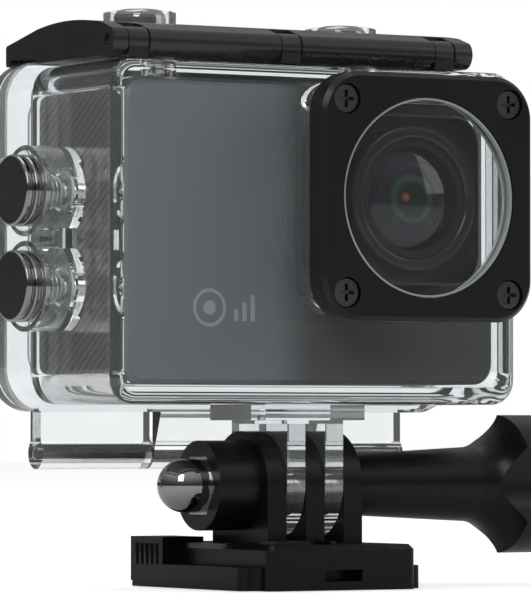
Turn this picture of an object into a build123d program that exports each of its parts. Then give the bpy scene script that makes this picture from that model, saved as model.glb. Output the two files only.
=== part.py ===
from math import cos, pi, sin

from build123d import *
import os

os.makedirs("parts", exist_ok=True)

# +X to the right seen from the front, front faces -Y, Z up, origin under the thumb screw on the floor
# camera
cam_w = 59.3
cam_h = 41.1
cam_front = -6.0
cam_depth = 21.5
cam_floor = 28.2
lens_x = 12.0
lens_z = 53.7
# case
wall = 2.4
room = 0.4
flange_lip = 4.0
flange_t = 2.8
door_t = 3.0
turret = 32.0
frame_w = 34.0
frame_t = 3.8
port_r = 13.8
glass_r = 14.6
screw_pitch = 26.4
# mount
axis_z = 14.2
prong_r = 7.5
prong_t = 3.0
prong_gap = 0.1
stud_r = 2.5
run = 0.08
base_w = 29.0
base_front = -15.0
base_rear = 19.0
base_t = 6.2
# buttons
stem_r = 1.2
travel = 0.8
side_cup_r = 6.2
top_cup_r = 5.0
side_pitch = 13.0
side_y = 5.0
top_y = 4.5

cam_top = cam_floor + cam_h
cam_rear = cam_front + cam_depth
cam_mid_z = cam_floor + cam_h / 2
cam_mid_y = (cam_front + cam_rear) / 2
in_x = cam_w / 2 + room
out_x = in_x + wall
in_bottom = cam_floor - room
in_top = cam_top + room
out_bottom = in_bottom - wall
out_top = in_top + wall
in_front = cam_front - room
out_front = in_front - wall
shell_rear = cam_rear + 1.5
flange_x = out_x + flange_lip
flange_bottom = out_bottom - 1.0
flange_top = out_top + 0.8
flange_h = flange_top - flange_bottom
flange_mid = (flange_top + flange_bottom) / 2
door_y = shell_rear + 0.3
door_back = door_y + door_t
turret_front = out_front - 5.4
frame_front = turret_front - frame_t
mid_h = out_top - out_bottom
mid_z = (out_top + out_bottom) / 2
clear_prong_t = prong_t - 0.1
prong_1 = prong_t / 2 + prong_gap
prong_2 = prong_1 + clear_prong_t + prong_gap
prong_3 = prong_2 + prong_t
boss_end = 14.3
barrel_y = door_y + 1.5
barrel_z = flange_bottom - 5.8
barrel_r = 2.2
pin_r = 0.8
pin_fit = 0.05
barrel_half = 29.5
knuckle_left = -12.0
knuckle_right = 16.0
latch_y = out_front + 1.9
latch_z = out_top + 2.3
latch_left = -out_x
latch_right = 25.0
lug_x = (-28.5, -4.5, 20.5)
hook_gap = 0.6
hook_depth = 0.5

side_z = (cam_mid_z + 5.6, cam_mid_z + 5.6 - side_pitch)
top_x = (-21.0, 11.5)

# seat on the outer wall, outward axis, cup radius, cup length, head radius
buttons = {
    "side_upper": (Plane(origin=(-out_x, side_y, side_z[0]), x_dir=(0, 1, 0), z_dir=(-1, 0, 0)), side_cup_r, 6.2, 5.0),
    "side_lower": (Plane(origin=(-out_x, side_y, side_z[1]), x_dir=(0, 1, 0), z_dir=(-1, 0, 0)), side_cup_r, 6.2, 5.0),
    "top_left": (Plane(origin=(top_x[0], top_y, out_top), x_dir=(1, 0, 0), z_dir=(0, 0, 1)), top_cup_r, 7.2, 3.6),
    "top_right": (Plane(origin=(top_x[1], top_y, out_top), x_dir=(1, 0, 0), z_dir=(0, 0, 1)), top_cup_r, 6.2, 3.6),
}
boss_h = 2.0
clip_seat = -1.0
clip_t = 0.5
spring_r = 2.2
wire_r = 0.22

front = Plane.XZ


def finish(builder, name):
    builder.part.label = name
    export_step(builder.part, "parts/" + name + ".step")


# quick-release buckle: rails, squeeze pads, spring fingers and three prongs
with BuildPart() as buckle_base:
    mid_y = (base_front + base_rear) / 2
    with Locations((0, mid_y, base_t / 2)):
        Box(base_w - 5.4, base_rear - base_front, base_t)
    with Locations((0, mid_y + 1.5, 1.6)):
        Box(base_w, base_rear - base_front - 3.0, 3.2)
    fillet(buckle_base.edges().filter_by(Axis.Z), 1.2)
    chamfer(buckle_base.faces().sort_by(Axis.Z)[-1].edges(), 0.7)
    # raised squeeze pads at the rear and a stop block at the front left
    with Locations((-11.2, base_rear - 5.0, 3.9), (11.2, base_rear - 5.0, 3.9)):
        Box(6.6, 9.0, 6.2)
    with Locations((-5.4, base_front + 3.2, base_t)):
        Box(9.5, 4.4, 1.0)
    # slots that free the spring fingers, and the hollow underneath
    with Locations((-6.6, base_rear - 6.0, 4.0), (6.6, base_rear - 6.0, 4.0)):
        Box(1.4, 14.0, 12.0, mode=Mode.SUBTRACT)
    with Locations((0, mid_y, 0.9)):
        Box(9.0, base_rear - base_front - 8.0, 1.8, mode=Mode.SUBTRACT)
    with Locations((0, base_front, 2.0)):
        Box(6.0, 6.0, 1.6, mode=Mode.SUBTRACT)
    with BuildSketch(Plane.YZ.offset(-prong_3)):
        with Locations((0, axis_z)):
            Circle(prong_r)
        with Locations((0, (axis_z + base_t - 0.5) / 2)):
            Rectangle(2 * prong_r, axis_z - base_t + 0.5)
    extrude(amount=2 * prong_3)
    with BuildSketch(Plane.YZ.offset(-boss_end)):
        with Locations((0, axis_z)):
            Circle(6.2)
    extrude(amount=boss_end - prong_3)
    with BuildSketch(Plane.YZ.offset(prong_1 - prong_gap)):
        with Locations((0, axis_z + 1.0)):
            Rectangle(4 * prong_r, 2 * (axis_z + 1.0 - base_t))
    extrude(amount=clear_prong_t + 2 * prong_gap, mode=Mode.SUBTRACT)
    with BuildSketch(Plane.YZ.offset(-prong_2)):
        with Locations((0, axis_z + 1.0)):
            Rectangle(4 * prong_r, 2 * (axis_z + 1.0 - base_t))
    extrude(amount=clear_prong_t + 2 * prong_gap, mode=Mode.SUBTRACT)
    with BuildSketch(Plane.YZ.offset(-boss_end - 1)):
        with Locations((0, axis_z)):
            Circle(stud_r + run)
    extrude(amount=40, mode=Mode.SUBTRACT)
    with BuildSketch(Plane.YZ.offset(-boss_end)):
        with Locations((0, axis_z)):
            RegularPolygon(4.1, 6, major_radius=False)
    extrude(amount=4.2, mode=Mode.SUBTRACT)
finish(buckle_base, "buckle_base")

# dome nut in the left boss
dome_r = 3.7
with BuildPart() as dome_nut:
    with BuildSketch(Plane.YZ.offset(-boss_end)):
        with Locations((0, axis_z)):
            RegularPolygon(4.0, 6, major_radius=False)
    extrude(amount=4.1)
    with BuildSketch(Plane(origin=(0, 0, axis_z), x_dir=(1, 0, 0), z_dir=(0, -1, 0))):
        with BuildLine():
            Polyline((-boss_end, 0), (-boss_end, dome_r), (-boss_end - 2.2, dome_r))
            ThreePointArc(
                (-boss_end - 2.2, dome_r),
                (-boss_end - 2.2 - dome_r * cos(pi / 4), dome_r * sin(pi / 4)),
                (-boss_end - 2.2 - dome_r, 0),
            )
            Line((-boss_end - 2.2 - dome_r, 0), (-boss_end, 0))
        make_face()
    revolve(axis=Axis((0, 0, axis_z), (1, 0, 0)))
    with BuildSketch(Plane.YZ.offset(-boss_end - 4.0)):
        with Locations((0, axis_z)):
            Circle(stud_r + run)
    extrude(amount=9, mode=Mode.SUBTRACT)
finish(dome_nut, "dome_nut")

# thumb screw: plain stud, then a tapered grip with three lobes
shaft_a = prong_3 + 0.1
shaft_b = 30.0
knob_b = 42.5
shaft_r = 5.3
knob_r = 9.8
with BuildPart() as thumb_stud:
    with BuildSketch(Plane.YZ.offset(-boss_end - 3.6)):
        with Locations((0, axis_z)):
            Circle(stud_r)
    extrude(amount=boss_end + 3.6 + 22)
    chamfer(thumb_stud.edges().group_by(Axis.X)[0], 0.6)
finish(thumb_stud, "thumb_stud")

with BuildPart() as thumb_knob:
    with BuildSketch(Plane.YZ.offset(shaft_a)):
        with Locations((0, axis_z)):
            Circle(4.15)
    with BuildSketch(Plane.YZ.offset(shaft_b)):
        with Locations((0, axis_z)):
            Circle(shaft_r)
    loft()
    # bell that flares from the shaft, then three long scoops
    with BuildSketch(Plane(origin=(0, 0, axis_z), x_dir=(1, 0, 0), z_dir=(0, -1, 0))):
        with BuildLine():
            Line((shaft_b - 0.5, 0), (shaft_b - 0.5, shaft_r))
            ThreePointArc((shaft_b - 0.5, shaft_r), (shaft_b + 2.6, 6.7), (shaft_b + 4.6, knob_r))
            Polyline((shaft_b + 4.6, knob_r), (knob_b, knob_r), (knob_b, 0), (shaft_b - 0.5, 0))
        make_face()
    revolve(axis=Axis((0, 0, axis_z), (1, 0, 0)))
    with BuildSketch(Plane.YZ.offset(shaft_b - 0.6)):
        with Locations((0, axis_z)):
            with PolarLocations(knob_r + 3.4, 3, start_angle=60):
                Circle(7.2)
    extrude(amount=knob_b - shaft_b + 2, mode=Mode.SUBTRACT)
    fillet(thumb_knob.edges().group_by(Axis.X)[-1], 1.2)
    with BuildSketch(Plane.YZ.offset(shaft_a - 1)):
        with Locations((0, axis_z)):
            Circle(stud_r)
    extrude(amount=23 - shaft_a, mode=Mode.SUBTRACT)
finish(thumb_knob, "thumb_knob")

# clear case shell
with BuildPart() as case_shell:
    with BuildSketch(front.offset(-shell_rear)):
        with Locations((0, mid_z)):
            RectangleRounded(2 * out_x, mid_h, 3.4)
    extrude(amount=shell_rear - out_front)
    fillet(case_shell.faces().sort_by(Axis.Y)[0].edges(), 1.4)
    with BuildSketch(front.offset(-shell_rear)):
        with Locations((0, flange_mid)):
            RectangleRounded(2 * flange_x, flange_h, 6.0)
    extrude(amount=flange_t)
    # square turret round the lens
    with BuildSketch(front.offset(-out_front - 1.0)):
        with Locations((lens_x, lens_z)):
            RectangleRounded(turret, turret, 5.0)
    extrude(amount=out_front - turret_front + 1.0)
    # mounting prongs
    with BuildSketch(Plane.YZ.offset(-prong_1 - clear_prong_t)):
        with Locations((0, axis_z)):
            Circle(prong_r)
        with Locations((0, (axis_z + out_bottom + 0.5) / 2)):
            Rectangle(2 * prong_r, out_bottom + 0.5 - axis_z)
    extrude(amount=2 * (prong_1 + clear_prong_t))
    with BuildSketch(Plane.YZ.offset(-prong_1)):
        with Locations((0, axis_z - 2)):
            Rectangle(4 * prong_r, 2 * (prong_r + 3.0))
    extrude(amount=2 * prong_1, mode=Mode.SUBTRACT)
    with Locations((0, 0, out_bottom - 1.0)):
        Box(16.0, 2 * prong_r, 2.4)
    # middle knuckle of the door hinge
    with BuildSketch(Plane.YZ.offset(knuckle_left + 0.15)):
        with Locations((barrel_y, barrel_z)):
            Circle(barrel_r)
        with BuildLine():
            Polyline((shell_rear - 2.6, flange_bottom + 0.5), (shell_rear, flange_bottom + 0.5),
                     (shell_rear, barrel_z), (barrel_y - barrel_r, barrel_z), close=True)
        make_face()
    extrude(amount=knuckle_right - knuckle_left - 0.3)
    # button cups and their inner bosses
    for plane, cup_r, cup_h, head_r in buttons.values():
        with BuildSketch(plane.offset(-0.6)):
            Circle(cup_r)
        extrude(amount=cup_h + 0.6)
    with Locations((-out_x - 1.6, side_y, (side_z[0] + side_z[1]) / 2)):
        Box(3.4, 7.0, 4.0)
    # room for the camera, open at the rear
    with BuildSketch(front.offset(-shell_rear)):
        with Locations((0, cam_mid_z)):
            RectangleRounded(2 * in_x, in_top - in_bottom, 2.2)
    extrude(amount=shell_rear - in_front, mode=Mode.SUBTRACT)
    with BuildSketch(front.offset(-in_front)):
        with Locations((lens_x, lens_z)):
            RectangleRounded(turret - 2 * wall, turret - 2 * wall, 3.2)
    extrude(amount=in_front - turret_front, mode=Mode.SUBTRACT)
    # groove for the door seal
    with BuildSketch(front.offset(-shell_rear)):
        with Locations((0, cam_mid_z)):
            RectangleRounded(2 * in_x + 3.6, in_top - in_bottom + 3.6, 3.8)
            RectangleRounded(2 * in_x + 1.2, in_top - in_bottom + 1.2, 2.8, mode=Mode.SUBTRACT)
    extrude(amount=1.2, mode=Mode.SUBTRACT)
    for plane, cup_r, cup_h, head_r in buttons.values():
        with BuildSketch(plane.offset(boss_h)):
            Circle(head_r + 0.5)
        extrude(amount=cup_h, mode=Mode.SUBTRACT)
        with BuildSketch(plane.offset(-4)):
            Circle(stem_r + 0.07)
        extrude(amount=8, mode=Mode.SUBTRACT)
        with BuildSketch(plane.offset(0.25)):
            Circle(2.15)
        extrude(amount=0.9, mode=Mode.SUBTRACT)
        with BuildSketch(plane.offset(-wall - 0.5)):
            Circle(2.7)
        extrude(amount=wall + 0.5 + clip_seat, mode=Mode.SUBTRACT)
    for y, z, r in ((0, axis_z, stud_r + run), (barrel_y, barrel_z, pin_r)):
        with BuildSketch(Plane.YZ.offset(-40)):
            with Locations((y, z)):
                Circle(r)
        extrude(amount=80, mode=Mode.SUBTRACT)
    # screw pilots at the corners of the turret
    with BuildSketch(front.offset(-turret_front)):
        with Locations((lens_x, lens_z)):
            with GridLocations(screw_pitch, screw_pitch, 2, 2):
                Circle(0.9)
    extrude(amount=-3.4, mode=Mode.SUBTRACT)
finish(case_shell, "case_shell")

# black lugs that stand on the case top and hold the latch pin
nose_r = 2.0
lug_w = 3.0
with BuildPart() as latch_lugs:
    for x in lug_x:
        with BuildSketch(Plane.YZ.offset(x - lug_w / 2)):
            with Locations((latch_y, latch_z)):
                Circle(nose_r - 0.1)
            with Locations((latch_y, (latch_z + out_top) / 2)):
                Rectangle(2 * nose_r - 0.6, latch_z - out_top)
        extrude(amount=lug_w)
    with BuildSketch(Plane.YZ.offset(-40)):
        with Locations((latch_y, latch_z)):
            Circle(pin_r)
    extrude(amount=80, mode=Mode.SUBTRACT)
finish(latch_lugs, "latch_lugs")

# black frame that clamps the port glass
with BuildPart() as port_frame:
    with BuildSketch(front.offset(-turret_front)):
        with Locations((lens_x, lens_z)):
            RectangleRounded(frame_w, frame_w, 5.8)
    extrude(amount=frame_t)
    chamfer(port_frame.faces().sort_by(Axis.Y)[0].edges(), 0.6)
    with BuildSketch(front.offset(-turret_front)):
        with Locations((lens_x, lens_z)):
            Circle(port_r)
    extrude(amount=frame_t, mode=Mode.SUBTRACT)
    with BuildSketch(front.offset(-turret_front)):
        with Locations((lens_x, lens_z)):
            Circle(glass_r + 0.1)
    extrude(amount=2.6, mode=Mode.SUBTRACT)
    with BuildSketch(front.offset(-turret_front)):
        with Locations((lens_x, lens_z)):
            with GridLocations(screw_pitch, screw_pitch, 2, 2):
                Circle(1.1)
    extrude(amount=frame_t, mode=Mode.SUBTRACT)
    with BuildSketch(front.offset(-frame_front)):
        with Locations((lens_x, lens_z)):
            with GridLocations(screw_pitch, screw_pitch, 2, 2):
                Circle(2.1)
    extrude(amount=-1.6, mode=Mode.SUBTRACT)
finish(port_frame, "port_frame")

with BuildPart() as port_gasket:
    with BuildSketch(front.offset(-turret_front)):
        with Locations((lens_x, lens_z)):
            Circle(glass_r)
            Circle(port_r + 0.05, mode=Mode.SUBTRACT)
    extrude(amount=0.6)
finish(port_gasket, "port_gasket")

with BuildPart() as port_glass:
    with BuildSketch(front.offset(-turret_front + 0.6)):
        with Locations((lens_x, lens_z)):
            Circle(glass_r)
    extrude(amount=2.0)
finish(port_glass, "port_glass")

with BuildPart() as port_screws:
    with BuildSketch(front.offset(-frame_front - 1.6)):
        with Locations((lens_x, lens_z)):
            with GridLocations(screw_pitch, screw_pitch, 2, 2):
                Circle(1.9)
    extrude(amount=1.2)
    with BuildSketch(front.offset(-frame_front - 1.6)):
        with Locations((lens_x, lens_z)):
            with GridLocations(screw_pitch, screw_pitch, 2, 2):
                Circle(0.88)
    extrude(amount=-5.4)
    with BuildSketch(front.offset(-frame_front - 0.4)):
        with Locations((lens_x, lens_z)):
            with GridLocations(screw_pitch, screw_pitch, 2, 2):
                Rectangle(2.4, 0.5)
                Rectangle(0.5, 2.4)
    extrude(amount=-0.7, mode=Mode.SUBTRACT)
finish(port_screws, "port_screws")

# pins of the two hinges
with BuildPart() as door_pin:
    with BuildSketch(Plane.YZ.offset(-barrel_half)):
        with Locations((barrel_y, barrel_z)):
            Circle(pin_r)
    extrude(amount=2 * barrel_half)
finish(door_pin, "door_pin")

with BuildPart() as latch_pin:
    with BuildSketch(Plane.YZ.offset(latch_left + 0.6)):
        with Locations((latch_y, latch_z)):
            Circle(pin_r)
    extrude(amount=latch_right - latch_left - 1.2)
finish(latch_pin, "latch_pin")

# clear rear door with its plug and outer knuckles
with BuildPart() as back_door:
    with BuildSketch(front.offset(-door_back)):
        with Locations((0, flange_mid)):
            RectangleRounded(2 * flange_x, flange_h, 6.0)
    extrude(amount=door_t)
    fillet(back_door.faces().sort_by(Axis.Y)[-1].edges(), 1.0)
    with BuildSketch(front.offset(-door_y)):
        with Locations((0, cam_mid_z)):
            RectangleRounded(2 * in_x - 1.2, in_top - in_bottom - 1.2, 2.0)
    extrude(amount=1.4)
    for x0, x1 in ((-barrel_half, knuckle_left - 0.15), (knuckle_right + 0.15, barrel_half)):
        with BuildSketch(Plane.YZ.offset(x0)):
            with Locations((barrel_y, barrel_z)):
                Circle(barrel_r)
            with Locations((door_y + door_t / 2, (barrel_z + flange_bottom + 1.0) / 2)):
                Rectangle(door_t, flange_bottom + 1.0 - barrel_z)
        extrude(amount=x1 - x0)
    with BuildSketch(Plane.YZ.offset(-40)):
        with Locations((barrel_y, barrel_z)):
            Circle(pin_r + pin_fit)
    extrude(amount=80, mode=Mode.SUBTRACT)
finish(back_door, "back_door")

with BuildPart() as door_seal:
    with BuildSketch(front.offset(-shell_rear - 0.1)):
        with Locations((0, cam_mid_z)):
            RectangleRounded(2 * in_x + 3.5, in_top - in_bottom + 3.5, 3.75)
            RectangleRounded(2 * in_x + 1.3, in_top - in_bottom + 1.3, 2.85, mode=Mode.SUBTRACT)
    extrude(amount=1.3)
finish(door_seal, "door_seal")

# latch bar: rounded nose on its pin, arched top, hook behind the door
under = latch_z - 2.0
hook_y = door_back + hook_gap
with BuildPart() as latch_bar:
    with BuildSketch(Plane.YZ.offset(latch_left)):
        with BuildLine():
            ThreePointArc((latch_y, under), (latch_y - 2.0, latch_z), (latch_y - 1.2, latch_z + 1.6))
            Line((latch_y - 1.2, latch_z + 1.6), (latch_y + 1.6, latch_z + 2.5))
            ThreePointArc((latch_y + 1.6, latch_z + 2.5), (top_y - 1.0, latch_z + 3.3), (13.0, latch_z + 2.7))
            Line((13.0, latch_z + 2.7), (hook_y + 1.3, latch_z + 0.9))
            Line((hook_y + 1.3, latch_z + 0.9), (hook_y + 1.3, flange_top - hook_depth))
            Line((hook_y + 1.3, flange_top - hook_depth), (hook_y, flange_top - hook_depth))
            Line((hook_y, flange_top - hook_depth), (hook_y, flange_top + 0.4))
            Line((hook_y, flange_top + 0.4), (shell_rear - flange_t - 0.8, flange_top + 0.4))
            Line((shell_rear - flange_t - 0.8, flange_top + 0.4), (shell_rear - flange_t - 1.7, under))
            Line((shell_rear - flange_t - 1.7, under), (latch_y, under))
        make_face()
    extrude(amount=latch_right - latch_left)
    fillet(latch_bar.edges().filter_by(Axis.X).sort_by(Axis.Y)[-2:], 0.5)
    for x in lug_x:
        with Locations((x, latch_y + nose_r + 0.3 - 5.0, latch_z)):
            Box(lug_w + 0.4, 10.0, 12.0, mode=Mode.SUBTRACT)
    for x in top_x:
        with BuildSketch(Plane.XY.offset(under - 2)):
            with Locations((x, top_y)):
                Circle(top_cup_r + 0.8)
            with Locations((x, top_y + 12.5)):
                Rectangle(2 * (top_cup_r + 0.8), 25.0)
        extrude(amount=12, mode=Mode.SUBTRACT)
    with BuildSketch(Plane.YZ.offset(-40)):
        with Locations((latch_y, latch_z)):
            Circle(pin_r + pin_fit)
    extrude(amount=80, mode=Mode.SUBTRACT)
finish(latch_bar, "latch_bar")

with BuildPart() as button_o_rings:
    for plane, cup_r, cup_h, head_r in buttons.values():
        with Locations(plane.offset(0.7)):
            Torus(stem_r + 0.52, 0.42)
finish(button_o_rings, "button_o_rings")

# each button: plunger, return spring, retaining clip, and the camera key it presses
head_z = 4.6
for name, (plane, cup_r, cup_h, head_r) in buttons.items():
    crown = cup_h + 2.2 - head_z if cup_r == side_cup_r else cup_h + 0.4 - head_z
    with BuildPart() as plunger:
        with BuildSketch(plane.offset(-wall - 0.2)):
            Circle(stem_r)
        extrude(amount=head_z + wall + 0.4)
        with BuildSketch(plane.offset(head_z)):
            Circle(head_r if cup_r == top_cup_r else head_r - 0.5)
        extrude(amount=crown)
        if cup_r == side_cup_r:
            for k in range(3):
                with BuildSketch(plane.offset(head_z + k * (crown - 1.1) / 2)):
                    Circle(head_r - 0.1)
                extrude(amount=1.1)
            fillet(plunger.edges().filter_by(GeomType.CIRCLE).filter_by(lambda e: abs(e.radius - head_r + 0.1) < 0.01), 0.35)
        else:
            rim = plunger.edges().filter_by(GeomType.CIRCLE).filter_by(lambda e: abs(e.radius - head_r) < 0.01)
            fillet(rim.sort_by(Axis.Z)[-1], 1.3)
        with BuildSketch(plane.offset(clip_seat - clip_t - 0.1)):
            Circle(stem_r + 0.2)
            Circle(stem_r - 0.25, mode=Mode.SUBTRACT)
        extrude(amount=clip_t + 0.1, mode=Mode.SUBTRACT)
    finish(plunger, name + "_plunger")
    spring_h = head_z - boss_h - 2 * wire_r - 0.04
    with BuildPart() as spring:
        with BuildLine() as coil:
            Helix(
                spring_h / 3, spring_h, spring_r,
                center=plane.offset(boss_h + wire_r + 0.02).origin, direction=plane.z_dir,
            )
        with BuildSketch(Plane(origin=coil.line @ 0, z_dir=coil.line % 0)):
            Circle(wire_r)
        sweep(path=coil.line, is_frenet=True)
    finish(spring, name + "_spring")
    with BuildPart() as clip:
        with BuildSketch(plane.offset(clip_seat - clip_t - 0.05)):
            Circle(stem_r + 1.1)
            Circle(stem_r - 0.22, mode=Mode.SUBTRACT)
            with Locations((2.0, 0)):
                Rectangle(4.0, 1.7, mode=Mode.SUBTRACT)
        extrude(amount=clip_t)
    finish(clip, name + "_clip")
    with BuildPart() as key:
        with BuildSketch(plane.offset(-wall - room - 2.4)):
            Circle(stem_r + 1.0)
        extrude(amount=2.4)
        with BuildSketch(plane.offset(-wall - room - 2.4)):
            Circle(stem_r - 0.2)
        extrude(amount=-0.4)
    finish(key, name + "_key")

# camera shell, open at the front under its cover
cover_t = 1.2
skin = 1.6
with BuildPart() as camera_body:
    with BuildSketch(front.offset(-cam_rear)):
        with Locations((0, cam_mid_z)):
            RectangleRounded(cam_w, cam_h, 3.0)
    extrude(amount=cam_depth - cover_t)
    fillet(camera_body.faces().sort_by(Axis.Y)[-1].edges(), 1.0)
    with BuildSketch(front.offset(-cam_front - cover_t)):
        with Locations((0, cam_mid_z)):
            RectangleRounded(cam_w - 2 * skin, cam_h - 2 * skin, 1.6)
    extrude(amount=-(cam_depth - cover_t - 2.2), mode=Mode.SUBTRACT)
    with BuildSketch(front.offset(-cam_rear)):
        with Locations((0, cam_mid_z)):
            RectangleRounded(46.0, 34.0, 1.5)
    extrude(amount=1.1, mode=Mode.SUBTRACT)
    for plane, cup_r, cup_h, head_r in buttons.values():
        with BuildSketch(plane.offset(-wall - room - skin - 0.5)):
            Circle(stem_r + 1.0 + run)
        extrude(amount=skin + 1.0, mode=Mode.SUBTRACT)
finish(camera_body, "camera_body")

with BuildPart() as camera_cover:
    with BuildSketch(front.offset(-cam_front - cover_t)):
        with Locations((0, cam_mid_z)):
            RectangleRounded(cam_w, cam_h, 3.0)
    extrude(amount=cover_t)
    chamfer(camera_cover.faces().sort_by(Axis.Y)[0].edges(), 0.5)
    with BuildSketch(front.offset(-cam_front - cover_t)):
        with Locations((lens_x, lens_z)):
            Circle(9.0)
    extrude(amount=cover_t, mode=Mode.SUBTRACT)
finish(camera_cover, "camera_cover")

with BuildPart() as rear_display:
    with BuildSketch(front.offset(-cam_rear)):
        with Locations((0, cam_mid_z)):
            RectangleRounded(45.7, 33.7, 1.4)
    extrude(amount=1.1)
finish(rear_display, "rear_display")

lens_w = 23.6
block_front = cam_front - 6.0
with BuildPart() as lens_block:
    with BuildSketch(front.offset(-cam_front)):
        with Locations((lens_x, lens_z)):
            RectangleRounded(lens_w, lens_w, 4.0)
    extrude(amount=6.0)
    fillet(lens_block.faces().sort_by(Axis.Y)[0].edges(), 0.8)
    with BuildSketch(front.offset(-cam_front)):
        with Locations((lens_x, lens_z)):
            Circle(9.0)
    extrude(amount=6.0, mode=Mode.SUBTRACT)
finish(lens_block, "lens_block")

with BuildPart() as lens_ring:
    with BuildSketch(front.offset(-block_front)):
        with Locations((lens_x, lens_z)):
            Circle(10.0)
            Circle(8.3, mode=Mode.SUBTRACT)
    extrude(amount=1.6)
    fillet(lens_ring.faces().sort_by(Axis.Y)[0].edges(), 0.5)
finish(lens_ring, "lens_ring")

with BuildPart() as lens_barrel:
    with BuildSketch(front.offset(-cam_front - 3.0)):
        with Locations((lens_x, lens_z)):
            Circle(8.95)
            Circle(7.2, mode=Mode.SUBTRACT)
    extrude(amount=9.0)
    with BuildSketch(front.offset(-block_front)):
        with Locations((lens_x, lens_z)):
            Circle(8.2)
            Circle(7.2, mode=Mode.SUBTRACT)
    extrude(amount=1.1)
finish(lens_barrel, "lens_barrel")

# front element with a shallow spherical face, 1.1 of sag over its radius
glass_half = 7.18
glass_curve = (glass_half**2 + 1.1**2) / 2.2
with BuildPart() as lens_glass:
    with BuildSketch(Plane(origin=(lens_x, block_front, lens_z), x_dir=(1, 0, 0), z_dir=(0, 0, 1))):
        with BuildLine():
            Polyline((0, -0.9), (0, 1.2), (glass_half, 1.2), (glass_half, 0.2))
            ThreePointArc(
                (glass_half, 0.2),
                (glass_half / 2, glass_curve - 0.9 - (glass_curve**2 - glass_half**2 / 4) ** 0.5),
                (0, -0.9),
            )
        make_face()
    revolve(axis=Axis((lens_x, 0, lens_z), (0, 1, 0)))
finish(lens_glass, "lens_glass")

# stop ring and the inner element seated on it
inner_half = 4.0
inner_curve = (inner_half**2 + 1.0) / 2
with BuildPart() as inner_lens:
    with BuildSketch(front.offset(-block_front - 3.5)):
        with Locations((lens_x, lens_z)):
            Circle(glass_half)
            Circle(3.0, mode=Mode.SUBTRACT)
    extrude(amount=1.0)
    with BuildSketch(Plane(origin=(lens_x, block_front + 2.5, lens_z), x_dir=(1, 0, 0), z_dir=(0, 0, 1))):
        with BuildLine():
            ThreePointArc(
                (inner_half, 0),
                (inner_half / 2, inner_curve - 1.0 - (inner_curve**2 - inner_half**2 / 4) ** 0.5),
                (0, -1.0),
            )
            Polyline((0, -1.0), (0, 1.0), (inner_half, 1.0), (inner_half, 0))
        make_face()
    revolve(axis=Axis((lens_x, 0, lens_z), (0, 1, 0)))
finish(inner_lens, "inner_lens")

board_y = cam_front + 3.0
with BuildPart() as sensor_board:
    with Locations((lens_x, board_y + 0.6, lens_z)):
        Box(20.0, 1.2, 20.0)
    with Locations((lens_x, board_y - 0.5, lens_z)):
        Box(8.0, 1.0, 6.5)
finish(sensor_board, "sensor_board")

with BuildPart() as main_board:
    with Locations((0, board_y + 1.8, cam_mid_z)):
        Box(cam_w - 4.3, 1.2, cam_h - 4.2)
    with Locations((-12.0, board_y + 0.7, cam_mid_z + 4)):
        Box(11.0, 1.0, 11.0)
finish(main_board, "main_board")

with BuildPart() as battery:
    with BuildSketch(front.offset(-board_y - 2.5)):
        with Locations((-6.0, cam_mid_z - 1.5)):
            RectangleRounded(33.0, 31.0, 1.5)
    extrude(amount=-12.4)
finish(battery, "battery")
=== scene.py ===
import math

import bmesh
import bpy
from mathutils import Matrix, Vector


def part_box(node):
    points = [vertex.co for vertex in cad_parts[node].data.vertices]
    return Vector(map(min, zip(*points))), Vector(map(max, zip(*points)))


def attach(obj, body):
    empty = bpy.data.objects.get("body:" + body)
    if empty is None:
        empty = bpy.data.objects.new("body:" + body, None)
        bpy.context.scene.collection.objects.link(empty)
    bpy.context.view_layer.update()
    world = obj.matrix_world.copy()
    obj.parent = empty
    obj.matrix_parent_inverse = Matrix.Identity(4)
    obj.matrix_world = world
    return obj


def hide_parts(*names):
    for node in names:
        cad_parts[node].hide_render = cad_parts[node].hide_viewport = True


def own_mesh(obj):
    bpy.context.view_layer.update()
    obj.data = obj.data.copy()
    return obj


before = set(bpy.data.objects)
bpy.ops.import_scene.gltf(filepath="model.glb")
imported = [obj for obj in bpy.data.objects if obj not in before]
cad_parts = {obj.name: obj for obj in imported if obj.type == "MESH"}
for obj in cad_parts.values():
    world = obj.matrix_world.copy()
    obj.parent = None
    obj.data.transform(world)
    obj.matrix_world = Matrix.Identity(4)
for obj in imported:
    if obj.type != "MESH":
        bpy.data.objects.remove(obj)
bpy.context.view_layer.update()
bpy.ops.object.select_all(action="DESELECT")
print("frame loaded:", len(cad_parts), "parts")


# camera, set low in front of the case and looking a little up
shot = {
    "azimuth": -30.8, "distance": 0.700, "eye": 0.021, "aim": (-0.0026, 0.0015, 0.0399),
    "lens": 302.4, "sensor": 36, "nearest": 0.01,
}
turn = math.radians(shot["azimuth"])
aim = Vector(shot["aim"])
cameraData = bpy.data.cameras.new("photoCamera")
cameraData.sensor_width = shot["sensor"]
cameraData.lens = shot["lens"]
cameraData.clip_start = shot["nearest"]
photoCamera = bpy.data.objects.new("photoCamera", cameraData)
bpy.context.scene.collection.objects.link(photoCamera)
photoCamera.location = (
    aim.x + shot["distance"] * math.sin(turn),
    aim.y - shot["distance"] * math.cos(turn),
    shot["eye"],
)
photoCamera.rotation_euler = (aim - photoCamera.location).to_track_quat("-Z", "Y").to_euler()
bpy.context.scene.camera = photoCamera
bpy.context.scene.view_settings.view_transform = "Standard"


# helpers for materials
def grey(value):
    return (value, value, value)


def newMaterial(name):
    mat = bpy.data.materials.new(name)
    mat.use_nodes = True
    return mat, mat.node_tree.nodes, mat.node_tree.links, mat.node_tree.nodes["Principled BSDF"]


# puts a link or a plain value into a socket
def feed(links, socket, value):
    if isinstance(value, bpy.types.NodeSocket):
        links.new(value, socket)
    else:
        socket.default_value = value


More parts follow.
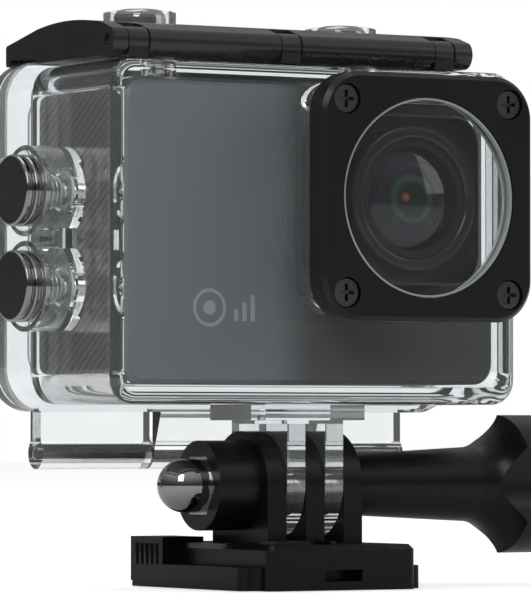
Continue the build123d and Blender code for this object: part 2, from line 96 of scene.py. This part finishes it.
def objectPlace(nodes, links, scale=(1, 1, 1), rotate=(0, 0, 0), move=(0, 0, 0)):
    coords = nodes.new("ShaderNodeTexCoord")
    mapping = nodes.new("ShaderNodeMapping")
    mapping.inputs["Location"].default_value = move
    mapping.inputs["Rotation"].default_value = rotate
    mapping.inputs["Scale"].default_value = scale
    links.new(coords.outputs["Object"], mapping.inputs["Vector"])
    return mapping.outputs["Vector"]


def noise(nodes, links, vector, scale, detail, rough=0.5):
    tex = nodes.new("ShaderNodeTexNoise")
    tex.inputs["Scale"].default_value = scale
    tex.inputs["Detail"].default_value = detail
    tex.inputs["Roughness"].default_value = rough
    links.new(vector, tex.inputs["Vector"])
    return tex.outputs["Fac"]


def ramp(nodes, links, fac, stops):
    node = nodes.new("ShaderNodeValToRGB")
    links.new(fac, node.inputs["Fac"])
    while len(node.color_ramp.elements) < len(stops):
        node.color_ramp.elements.new(0.5)
    for element, (pos, colour) in zip(node.color_ramp.elements, stops):
        element.position = pos
        element.color = (*colour, 1)
    return node.outputs["Color"]


def bump(nodes, links, height, shader, strength, distance):
    node = nodes.new("ShaderNodeBump")
    node.inputs["Strength"].default_value = strength
    node.inputs["Distance"].default_value = distance
    links.new(height, node.inputs["Height"])
    links.new(node.outputs["Normal"], shader.inputs["Normal"])


# spreads a value between two ends over 0 to 1, or over the range given
def spread(nodes, links, value, start, end, ends=(0.0, 1.0), smooth=True):
    node = nodes.new("ShaderNodeMapRange")
    node.interpolation_type = "SMOOTHSTEP" if smooth else "LINEAR"
    node.inputs["From Min"].default_value = start
    node.inputs["From Max"].default_value = end
    node.inputs["To Min"].default_value, node.inputs["To Max"].default_value = ends
    links.new(value, node.inputs["Value"])
    return node.outputs["Result"]


def mixColours(nodes, links, how, factor, first, second):
    node = nodes.new("ShaderNodeMix")
    node.data_type = "RGBA"
    node.blend_type = how
    factorIn, firstIn, secondIn = node.inputs[0], node.inputs[6], node.inputs[7]
    for socket, value in ((factorIn, factor), (firstIn, first), (secondIn, second)):
        feed(links, socket, value)
    return node.outputs[2]


# distance of a point from the line along Y through the given X and Z
def awayFrom(nodes, links, x, z):
    length = nodes.new("ShaderNodeVectorMath")
    length.operation = "LENGTH"
    links.new(objectPlace(nodes, links, scale=(1, 0, 1), move=(-x, 0, -z)), length.inputs[0])
    return length.outputs["Value"]


plain = {"cloud": 90, "cloudDetail": 3, "fineDetail": 5, "fineRough": 0.6, "relief": 0.35, "coatRough": 0.08}


# moulded or turned finish: colour that wanders a little, roughness and a fine grain
def plainFinish(name, low, high, rough, grain, depth, metallic=0.0, coat=0.0, stretch=(1, 1, 1), sheen=0.5):
    mat, nodes, links, shader = newMaterial(name)
    place = objectPlace(nodes, links, stretch)
    cloud = noise(nodes, links, place, plain["cloud"], plain["cloudDetail"])
    links.new(ramp(nodes, links, cloud, [(0.3, low), (0.7, high)]), shader.inputs["Base Color"])
    fine = noise(nodes, links, place, grain, plain["fineDetail"], plain["fineRough"])
    roughness = ramp(nodes, links, fine, [(0.25, grey(rough[0])), (0.75, grey(rough[1]))])
    links.new(roughness, shader.inputs["Roughness"])
    bump(nodes, links, fine, shader, plain["relief"], depth)
    shader.inputs["Metallic"].default_value = metallic
    shader.inputs["Specular IOR Level"].default_value = sheen
    shader.inputs["Coat Weight"].default_value = coat
    shader.inputs["Coat Roughness"].default_value = plain["coatRough"]
    return mat


clear = {"flow": 60, "flowDetail": 2, "lift": 0.02, "relief": 0.2}


# clear moulded plastic, a little hazy where clarity is under 1, that lamps shine through
def clearFinish(name, tint, rough, ior, veil, waviness, clarity):
    mat, nodes, links, shader = newMaterial(name)
    flow = noise(nodes, links, objectPlace(nodes, links), clear["flow"], clear["flowDetail"])
    lighter = tuple(min(1, c + clear["lift"]) for c in tint)
    links.new(ramp(nodes, links, flow, [(0.3, tint), (0.7, lighter)]), shader.inputs["Base Color"])
    shader.inputs["Roughness"].default_value = rough
    shader.inputs["IOR"].default_value = ior
    shader.inputs["Transmission Weight"].default_value = clarity
    bump(nodes, links, flow, shader, clear["relief"], waviness)
    rays = nodes.new("ShaderNodeLightPath")
    through = nodes.new("ShaderNodeBsdfTransparent")
    through.inputs["Color"].default_value = (*grey(veil), 1)
    mix = nodes.new("ShaderNodeMixShader")
    links.new(rays.outputs["Is Shadow Ray"], mix.inputs[0])
    links.new(shader.outputs["BSDF"], mix.inputs[1])
    links.new(through.outputs["BSDF"], mix.inputs[2])
    links.new(mix.outputs["Shader"], nodes["Material Output"].inputs["Surface"])
    return mat


# each plain finish: darkest and lightest colour, smoothest and roughest, grain and its depth in metres, and extras
plainLooks = {
    "blackNylon": (grey(0.004), grey(0.007), (0.24, 0.36), 6500, 0.000012, {"sheen": 0.28}),
    "latchBlack": (grey(0.013), grey(0.019), (0.22, 0.32), 6000, 0.00001, {"sheen": 0.6}),
    "frameBlack": (grey(0.004), grey(0.007), (0.24, 0.34), 7000, 0.000012, {"sheen": 0.4}),
    "polishedChrome": (grey(0.31), grey(0.39), (0.05, 0.11), 700, 0.000004, {"metallic": 1.0}),
    "turnedSteel": (grey(0.20), grey(0.30), (0.20, 0.34), 900, 0.00001, {"metallic": 1.0, "stretch": (0.15, 1, 1)}),
    "screwSteel": (grey(0.10), grey(0.17), (0.20, 0.34), 5000, 0.000006, {"metallic": 1.0}),
    "springWire": (grey(0.50), grey(0.62), (0.16, 0.28), 1500, 0.000005, {"metallic": 1.0}),
    "sealRubber": ((0.56, 0.60, 0.61), (0.66, 0.69, 0.70), (0.45, 0.62), 1400, 0.00002, {}),
    "lensBlack": (grey(0.006), grey(0.009), (0.20, 0.27), 9000, 0.000002, {}),
    "keyBlack": (grey(0.02), grey(0.03), (0.35, 0.5), 1800, 0.00002, {}),
    "boardGreen": ((0.01, 0.09, 0.04), (0.02, 0.14, 0.06), (0.3, 0.5), 1500, 0.00003, {}),
    "batteryWrap": ((0.05, 0.05, 0.07), (0.08, 0.08, 0.10), (0.3, 0.45), 900, 0.00003, {}),
    "displayGlass": (grey(0.004), grey(0.007), (0.05, 0.10), 400, 0.000002, {"coat": 0.6}),
    "paleInk": (grey(0.30), grey(0.36), (0.45, 0.6), 1500, 0.000005, {}),
    # painted highlight: pale colour for the edge of the port glass
    "glassEdgeAndGlint": ((0.34, 0.37, 0.38), (0.42, 0.45, 0.46), (0.08, 0.16), 1500, 0.000004, {}),
}
looks = {name: plainFinish(name, *values, **extras) for name, (*values, extras) in plainLooks.items()}
looks["clearCase"] = clearFinish("clearCase", (0.95, 0.975, 0.985), 0.015, 1.50, 0.93, 0.00003, 0.965)
looks["portClear"] = clearFinish("portClear", (0.97, 0.99, 0.985), 0.0, 1.46, 0.95, 0.000001, 0.99)

# left is the front's own cool grey; right is painted shade, the near black round the lens
faceGreyAndShade = {
    "left": (0.137, 0.164, 0.173), "right": (0.020, 0.021, 0.022), "start": -0.0075, "end": 0.0010,
    "speck": 7000, "flake": (0.90, 1.0), "rough": (0.38, 0.50), "relief": 0.25, "depth": 0.000008,
}


# cool grey front with painted shade: the grey falls to near black around the lens, where shade falls
def greyFaceWithPaintedShade():
    mat, nodes, links, shader = newMaterial("greyFaceWithPaintedShade")
    coords = nodes.new("ShaderNodeTexCoord")
    split = nodes.new("ShaderNodeSeparateXYZ")
    links.new(coords.outputs["Object"], split.inputs["Vector"])
    # painted shade: the colour runs from the grey to near black across the front towards the lens
    across = spread(nodes, links, split.outputs["X"], faceGreyAndShade["start"], faceGreyAndShade["end"])
    shade = ramp(nodes, links, across, [(0.0, faceGreyAndShade["left"]), (1.0, faceGreyAndShade["right"])])
    speck = noise(nodes, links, objectPlace(nodes, links), faceGreyAndShade["speck"], 2)
    flake = ramp(nodes, links, speck, [(0.3, grey(faceGreyAndShade["flake"][0])), (0.7, grey(faceGreyAndShade["flake"][1]))])
    links.new(mixColours(nodes, links, "MULTIPLY", 1.0, shade, flake), shader.inputs["Base Color"])
    rough = ramp(nodes, links, speck, [(0.3, grey(faceGreyAndShade["rough"][0])), (0.7, grey(faceGreyAndShade["rough"][1]))])
    links.new(rough, shader.inputs["Roughness"])
    bump(nodes, links, speck, shader, faceGreyAndShade["relief"], faceGreyAndShade["depth"])
    return mat


rib = {
    "pitch": 320, "tilt": (35, 20, 0), "valleyShade": (0.060, 0.054, 0.050), "crest": (0.115, 0.106, 0.100),
    "rough": (0.62, 0.46), "relief": 0.7, "depth": 0.00014,
}


# side shell: warm dark grey with fine slanted ribs moulded in, with painted shade darkening the rib valleys
def ribbedShell():
    mat, nodes, links, shader = newMaterial("ribbedShell")
    place = objectPlace(nodes, links, rotate=[math.radians(angle) for angle in rib["tilt"]])
    ribs = nodes.new("ShaderNodeTexWave")
    ribs.wave_type = "BANDS"
    ribs.bands_direction = "Z"
    ribs.inputs["Scale"].default_value = rib["pitch"]
    ribs.inputs["Distortion"].default_value = 0.0
    links.new(place, ribs.inputs["Vector"])
    height = ribs.outputs["Fac"]
    # painted shade: the rib valleys get a darker colour than the crests
    links.new(ramp(nodes, links, height, [(0.1, rib["valleyShade"]), (0.8, rib["crest"])]), shader.inputs["Base Color"])
    rough = ramp(nodes, links, height, [(0.0, grey(rib["rough"][0])), (1.0, grey(rib["rough"][1]))])
    links.new(rough, shader.inputs["Roughness"])
    bump(nodes, links, height, shader, rib["relief"], rib["depth"])
    return mat


# coating rings go from the middle of the element to its rim; the glint, a painted reflection, lies a little beside the
# middle
coatingAndGlint = {
    "x": 0.012, "z": 0.0537, "rim": 0.0072,
    "glintX": 0.0109, "glintZ": 0.0539, "glintRim": 0.0009, "glintCore": 0.0001, "glint": (0.24, 0.085, 0.04, 1),
    "rough": 0.03, "ior": 1.46, "coat": 0.25, "coatRough": 0.02, "coatTint": (0.75, 1.0, 0.85, 1),
    "rings": [
        (0.0, (0.004, 0.006, 0.009)), (0.30, (0.010, 0.016, 0.022)), (0.42, (0.030, 0.060, 0.048)),
        (0.52, (0.008, 0.012, 0.016)), (0.72, (0.020, 0.012, 0.030)), (0.86, (0.006, 0.006, 0.007)), (1.0, grey(0.004)),
    ],
}


# coated front element: nearly black with faint rings of colour, and one warm glint painted into its colour as a painted
# reflection
def coatedGlassAndGlint():
    mat, nodes, links, shader = newMaterial("coatedGlassAndGlint")
    fromMiddle = awayFrom(nodes, links, coatingAndGlint["x"], coatingAndGlint["z"])
    outwards = spread(nodes, links, fromMiddle, 0.0, coatingAndGlint["rim"], smooth=False)
    fromGlint = awayFrom(nodes, links, coatingAndGlint["glintX"], coatingAndGlint["glintZ"])
    # painted reflection: a warm glint mixed into the colour a little beside the middle
    glintMask = spread(nodes, links, fromGlint, coatingAndGlint["glintRim"], coatingAndGlint["glintCore"])
    rings = ramp(nodes, links, outwards, coatingAndGlint["rings"])
    links.new(mixColours(nodes, links, "MIX", glintMask, rings, coatingAndGlint["glint"]), shader.inputs["Base Color"])
    shader.inputs["Roughness"].default_value = coatingAndGlint["rough"]
    shader.inputs["IOR"].default_value = coatingAndGlint["ior"]
    shader.inputs["Coat Weight"].default_value = coatingAndGlint["coat"]
    shader.inputs["Coat Roughness"].default_value = coatingAndGlint["coatRough"]
    shader.inputs["Coat Tint"].default_value = coatingAndGlint["coatTint"]
    return mat


looks["greyFaceWithPaintedShade"] = greyFaceWithPaintedShade()
looks["ribbedShell"] = ribbedShell()
looks["coatedGlassAndGlint"] = coatedGlassAndGlint()

finishes = {
    "blackNylon": ["buckle_base", "thumb_knob"],
    "polishedChrome": ["dome_nut"],
    "turnedSteel": ["thumb_stud", "door_pin", "latch_pin"],
    "clearCase": ["case_shell", "back_door"],
    "portClear": ["port_glass"],
    "frameBlack": ["port_frame"],
    "sealRubber": ["port_gasket", "door_seal", "button_o_rings"],
    "screwSteel": ["port_screws"],
    "latchBlack": ["latch_bar", "latch_lugs"],
    "ribbedShell": ["camera_body"],
    "greyFaceWithPaintedShade": ["camera_cover"],
    "displayGlass": ["rear_display"],
    "lensBlack": ["lens_block", "lens_ring", "lens_barrel", "inner_lens"],
    "coatedGlassAndGlint": ["lens_glass"],
    "boardGreen": ["sensor_board", "main_board"],
    "batteryWrap": ["battery"],
    "springWire": [],
    "keyBlack": [],
}
for button in ("side_upper", "side_lower", "top_left", "top_right"):
    finishes["polishedChrome"].append(button + "_plunger")
    finishes["springWire"] += [button + "_spring", button + "_clip"]
    finishes["keyBlack"].append(button + "_key")
for look, nodeNames in finishes.items():
    for node in nodeNames:
        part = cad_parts[node]
        part.data.materials.clear()
        part.data.materials.append(looks[look])
print("finishes set:", sum(len(nodeNames) for nodeNames in finishes.values()))

making = {"smoothAngle": 35, "sharpAngle": 40}
facingFront = (math.radians(90), 0, 0)


# puts a finished piece at the origin, on its body and in its material slot
def settle(piece, name, body, look):
    bpy.ops.object.transform_apply(location=True, rotation=True, scale=True)
    piece.name = name
    piece.data.name = name
    piece.data.materials.clear()
    piece.data.materials.append(looks[look])
    bpy.ops.object.shade_smooth_by_angle(angle=math.radians(making["smoothAngle"]))
    bpy.ops.object.select_all(action="DESELECT")
    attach(piece, body)
    return piece


def softenEdges(piece, width, segments):
    edge = piece.modifiers.new("softEdge", "BEVEL")
    edge.width = width
    edge.segments = segments
    edge.limit_method = "ANGLE"
    edge.angle_limit = math.radians(making["sharpAngle"])
    bpy.ops.object.modifier_apply(modifier=edge.name)


def smallBlock(place, size, soft, segments):
    bpy.ops.mesh.primitive_cube_add(size=1, location=place, scale=size)
    bpy.ops.object.transform_apply(location=False, rotation=False, scale=True)
    softenEdges(bpy.context.object, soft, segments)
    return bpy.context.object


def joinPieces(made):
    bpy.ops.object.select_all(action="DESELECT")
    for piece in made:
        piece.select_set(True)
    bpy.context.view_layer.objects.active = made[0]
    bpy.ops.object.join()
    return made[0]


# turns the outline of a flat face in edit mode into a band, and gives the band its depth towards the back
def cutBand(width, depth):
    bpy.ops.mesh.select_all(action="SELECT")
    bpy.ops.mesh.inset(thickness=width, depth=0)
    bpy.ops.mesh.delete(type="FACE")
    bpy.ops.mesh.select_all(action="SELECT")
    bpy.ops.mesh.extrude_region_move(TRANSFORM_OT_translate={"value": (0, depth, 0)})
    bpy.ops.mesh.select_all(action="SELECT")
    bpy.ops.mesh.normals_make_consistent(inside=False)
    bpy.ops.object.mode_set(mode="OBJECT")


def roundBand(sides, radius, place, width, depth):
    bpy.ops.mesh.primitive_circle_add(
        vertices=sides, radius=radius, fill_type="NGON", location=place, rotation=facingFront,
    )
    bpy.ops.object.mode_set(mode="EDIT")
    cutBand(width, depth)
    return bpy.context.object


# plain shutter mark printed on the camera: a ring, a dot and three rising bars
mark = {
    "x": -0.0165, "z": 0.0385, "ring": 0.0026, "line": 0.00045, "thick": 0.00006, "dot": 0.38, "dotSoft": 0.00001,
    "bars": (0.0016, 0.0026, 0.0036), "barWidth": 0.0007, "barPitch": 0.0013, "barsRight": 0.0042, "barsDown": 0.0018,
    "barSoft": 0.00002, "ringSides": 64, "dotSides": 32,
}
faceLow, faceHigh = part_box("camera_cover")
faceFront = faceLow.y
faceMiddle = (faceLow.z + faceHigh.z) / 2


def printedRing():
    place = (mark["x"], faceFront - mark["thick"], mark["z"])
    ring = roundBand(mark["ringSides"], mark["ring"], place, mark["line"], mark["thick"])
    return settle(ring, "printedRing", "case", "paleInk")


def printedDot():
    bpy.ops.mesh.primitive_cylinder_add(
        vertices=mark["dotSides"], radius=mark["ring"] * mark["dot"], depth=mark["thick"],
        location=(mark["x"], faceFront - mark["thick"] / 2, mark["z"]), rotation=facingFront,
    )
    dot = bpy.context.object
    softenEdges(dot, mark["dotSoft"], 1)
    return settle(dot, "printedDot", "case", "paleInk")


def printedBars():
    made = []
    for count, height in enumerate(mark["bars"]):
        right = mark["x"] + mark["barsRight"] + count * mark["barPitch"]
        place = (right, faceFront - mark["thick"] / 2, mark["z"] - mark["barsDown"] + height / 2)
        made.append(smallBlock(place, (mark["barWidth"], mark["thick"], height), mark["barSoft"], 1))
    return settle(joinPieces(made), "printedBars", "case", "paleInk")


printedRing()
printedDot()
printedBars()
print("camera mark printed")


# an outline of a rounded rectangle that faces front, cut from a bevelled plate
def roundedFrame(name, look, body, place, values):
    bpy.ops.mesh.primitive_plane_add(size=1, location=place, rotation=facingFront)
    outline = bpy.context.object
    bpy.ops.object.mode_set(mode="EDIT")
    bm = bmesh.from_edit_mesh(outline.data)
    for corner in bm.verts:
        corner.co.x = math.copysign(values["width"] / 2, corner.co.x)
        corner.co.y = math.copysign(values["height"] / 2, corner.co.y)
    bmesh.update_edit_mesh(outline.data)
    bpy.ops.mesh.select_all(action="SELECT")
    bpy.ops.mesh.bevel(offset=values["corner"], segments=8, affect="VERTICES")
    cutBand(values["band"], values["rise"])
    softenEdges(outline, values["soft"], 2)
    return settle(outline, name, body, look)


# raised clear border on the back of the door, 6 mm inside its edges
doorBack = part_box("back_door")[1]
border = {
    "width": doorBack.x * 2 - 0.0120, "height": 0.0410, "corner": 0.0042,
    "band": 0.0011, "rise": 0.0008, "soft": 0.00012,
}
roundedFrame("doorBorder", "clearCase", "door", (0, doorBack.y, faceMiddle), border)

# bezel round the camera's display, sunk a little into it
bezel = {
    "width": 0.0452, "height": 0.0332, "corner": 0.0014,
    "band": 0.0009, "rise": 0.00022, "soft": 0.00006, "sunk": 0.00005,
}
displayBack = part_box("rear_display")[1]
roundedFrame(
    "displayBezel", "keyBlack", "case", (0, displayBack.y - bezel["sunk"], faceMiddle), bezel,
)

# moulded ribs under the finger on top of the latch bar, which slopes down from its crest to its rear edge
grip = {
    "count": 7, "pitch": 0.0013, "width": 0.0190, "height": 0.0005, "thick": 0.0006, "x": -0.0048, "soft": 0.00018,
    "fromRear": 0.0018, "crest": 0.0130, "crestTop": 0.0771, "rearTop": 0.0753, "sunk": 0.0001,
}


def latchGrip():
    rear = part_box("latch_bar")[1].y
    made = []
    for count in range(grip["count"]):
        back = rear - grip["fromRear"] - count * grip["pitch"]
        down = (back - grip["crest"]) / (rear - grip["crest"])
        top = grip["crestTop"] + (grip["rearTop"] - grip["crestTop"]) * down
        size = (grip["width"], grip["thick"], grip["height"])
        made.append(smallBlock((grip["x"], back, top - grip["sunk"]), size, grip["soft"], 2))
    return settle(joinPieces(made), "latchGrip", "latch", "latchBlack")


latchGrip()

# ribs on the outer faces of the buckle's squeeze pads
pad = {
    "count": 5, "pitch": 0.0014, "deep": 0.0007, "thick": 0.0006, "height": 0.0030, "soft": 0.00016,
    "sunk": 0.0001, "fromRear": 0.0022, "middle": 0.0046,
}


def padRibs():
    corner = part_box("buckle_base")[1]
    made = []
    for side in (-1, 1):
        for count in range(pad["count"]):
            place = (side * (corner.x - pad["sunk"]), corner.y - pad["fromRear"] - count * pad["pitch"], pad["middle"])
            made.append(smallBlock(place, (pad["deep"], pad["thick"], pad["height"]), pad["soft"], 2))
    return settle(joinPieces(made), "padRibs", "buckle", "blackNylon")


padRibs()
print("door, display, latch and buckle details made")

# ring at the edge of the port glass, set just inside the frame; its pale colour is a painted highlight standing in for
# the bright line along the glass edge
trim = {"outer": 0.01372, "width": 0.0003, "deep": 0.0009, "behind": 0.0002, "soft": 0.00006, "sides": 96}


def portEdgeAndGlint():
    low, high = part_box("port_frame")
    place = ((low.x + high.x) / 2, low.y + trim["behind"], (low.z + high.z) / 2)
    ring = roundBand(trim["sides"], trim["outer"], place, trim["width"], trim["deep"])
    softenEdges(ring, trim["soft"], 2)
    return settle(ring, "portEdgeAndGlint", "case", "glassEdgeAndGlint")


portEdgeAndGlint()


def returnSpring(button):
    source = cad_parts[button + "_spring"]
    coil = source.copy()
    coil.data = source.data.copy()
    coil.parent = None
    coil.matrix_world = source.matrix_world
    for key in list(coil.keys()):
        del coil[key]
    bpy.context.scene.collection.objects.link(coil)
    coil.select_set(True)
    bpy.context.view_layer.objects.active = coil
    settle(coil, button + "Coil", "case", "springWire")
    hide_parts(button + "_spring")
    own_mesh(coil)


for button in ("side_upper", "side_lower"):
    returnSpring(button)
for button in ("top_left", "top_right"):
    returnSpring(button)
print("springs made")

# knurled grip round the lens ring: one tooth, copied round
teeth = {"count": 60, "size": (0.0005, 0.0011, 0.0003), "radius": 0.01002, "soft": 0.00008, "behind": 0.0001}


def lensKnurl():
    low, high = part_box("lens_ring")
    middle = (low + high) / 2
    tooth = smallBlock((0, 0, 0), teeth["size"], teeth["soft"], 1)
    made = []
    for count in range(teeth["count"]):
        angle = 2 * math.pi * count / teeth["count"]
        copy = tooth.copy()
        copy.data = tooth.data.copy()
        bpy.context.scene.collection.objects.link(copy)
        out = Vector((math.sin(angle), 0, math.cos(angle))) * teeth["radius"]
        copy.location = middle + out + Vector((0, teeth["behind"], 0))
        copy.rotation_euler = (0, angle, 0)
        made.append(copy)
    bpy.data.objects.remove(tooth)
    return settle(joinPieces(made), "lensKnurl", "case", "lensBlack")


lensKnurl()
print("lens details made")

# stage: white floor and air, with soft lamps
stageLook = {
    "floor": 0.80, "floorRough": 0.9, "floorSize": 6.0, "floorDrop": 0.0001, "floorGlow": 0.60,
    "air": 0.52, "horizon": 0.07, "horizonEnds": (0.05, 0.75), "alongWall": 0.7,
}
lampAim = Vector((0, 0, 0.05))
lamps = {
    "keyLamp": {"place": (-0.75, -0.75, 0.75), "size": (0.5, 0.7), "watts": 3.9},
    "fillLamp": {"place": (0.9, -0.55, 0.45), "size": (0.6, 0.6), "watts": 1.8},
    "topLamp": {"place": (0.0, 0.25, 1.0), "size": (0.7, 0.7), "watts": 2.6},
}


# one node that works on two values
def calculate(nodes, links, how, first, second):
    node = nodes.new("ShaderNodeMath")
    node.operation = how
    feed(links, node.inputs[0], first)
    feed(links, node.inputs[1], second)
    return node.outputs["Value"]


# 1 where the eye meets the backdrop, straight or through clear plastic, less along a clear wall,
# and 0 where light bounced
def seenWhite(nodes, links):
    rays = nodes.new("ShaderNodeLightPath").outputs
    straight = calculate(nodes, links, "MAXIMUM", rays["Is Camera Ray"], rays["Is Transmission Ray"])
    noScatter = calculate(nodes, links, "LESS_THAN", rays["Diffuse Depth"], 0.5)
    noMirror = calculate(nodes, links, "LESS_THAN", rays["Glossy Depth"], 0.5)
    manyMirrors = calculate(nodes, links, "GREATER_THAN", rays["Glossy Depth"], 1.5)
    along = calculate(nodes, links, "MULTIPLY", manyMirrors, stageLook["alongWall"])
    clean = calculate(nodes, links, "MAXIMUM", noMirror, along)
    return calculate(nodes, links, "MULTIPLY", straight, calculate(nodes, links, "MULTIPLY", noScatter, clean))


def whiteFloor():
    bpy.ops.mesh.primitive_plane_add(size=stageLook["floorSize"], location=(0, 0, -stageLook["floorDrop"]))
    studioFloor = bpy.context.object
    studioFloor.name = "studioFloor"
    mat, nodes, links, shader = newMaterial("floorWhite")
    shader.inputs["Base Color"].default_value = (*grey(stageLook["floor"]), 1)
    shader.inputs["Roughness"].default_value = stageLook["floorRough"]
    glow = nodes.new("ShaderNodeEmission")
    glow.inputs["Color"].default_value = (1, 1, 1, 1)
    glow.inputs["Strength"].default_value = stageLook["floorGlow"]
    both = nodes.new("ShaderNodeAddShader")
    choice = nodes.new("ShaderNodeMixShader")
    links.new(shader.outputs["BSDF"], both.inputs[0])
    links.new(glow.outputs["Emission"], both.inputs[1])
    links.new(seenWhite(nodes, links), choice.inputs[0])
    links.new(shader.outputs["BSDF"], choice.inputs[1])
    links.new(both.outputs["Shader"], choice.inputs[2])
    links.new(choice.outputs["Shader"], nodes["Material Output"].inputs["Surface"])
    studioFloor.data.materials.append(mat)


# white air, dim round the horizon where it is mirrored, so that gloss has something dark to show
def whiteAir():
    world = bpy.data.worlds.new("studioAir")
    bpy.context.scene.world = world
    world.use_nodes = True
    nodes, links = world.node_tree.nodes, world.node_tree.links
    coords = nodes.new("ShaderNodeTexCoord")
    split = nodes.new("ShaderNodeSeparateXYZ")
    links.new(coords.outputs["Generated"], split.inputs["Vector"])
    dimToLight = (stageLook["horizon"], stageLook["air"])
    sky = spread(nodes, links, split.outputs["Z"], *stageLook["horizonEnds"], ends=dimToLight)
    level = nodes.new("ShaderNodeMix")
    links.new(seenWhite(nodes, links), level.inputs["Factor"])
    links.new(sky, level.inputs["A"])
    level.inputs["B"].default_value = 1.0
    nodes["Background"].inputs["Color"].default_value = (1, 1, 1, 1)
    links.new(level.outputs["Result"], nodes["Background"].inputs["Strength"])


def softLamp(name, place, size, watts):
    data = bpy.data.lights.new(name, "AREA")
    data.shape = "RECTANGLE"
    data.size, data.size_y = size
    data.energy = watts
    lamp = bpy.data.objects.new(name, data)
    bpy.context.scene.collection.objects.link(lamp)
    lamp.location = place
    lamp.rotation_euler = (lampAim - Vector(place)).to_track_quat("-Z", "Y").to_euler()


whiteFloor()
whiteAir()
for name, values in lamps.items():
    softLamp(name, **values)
print("stage and lamps ready")
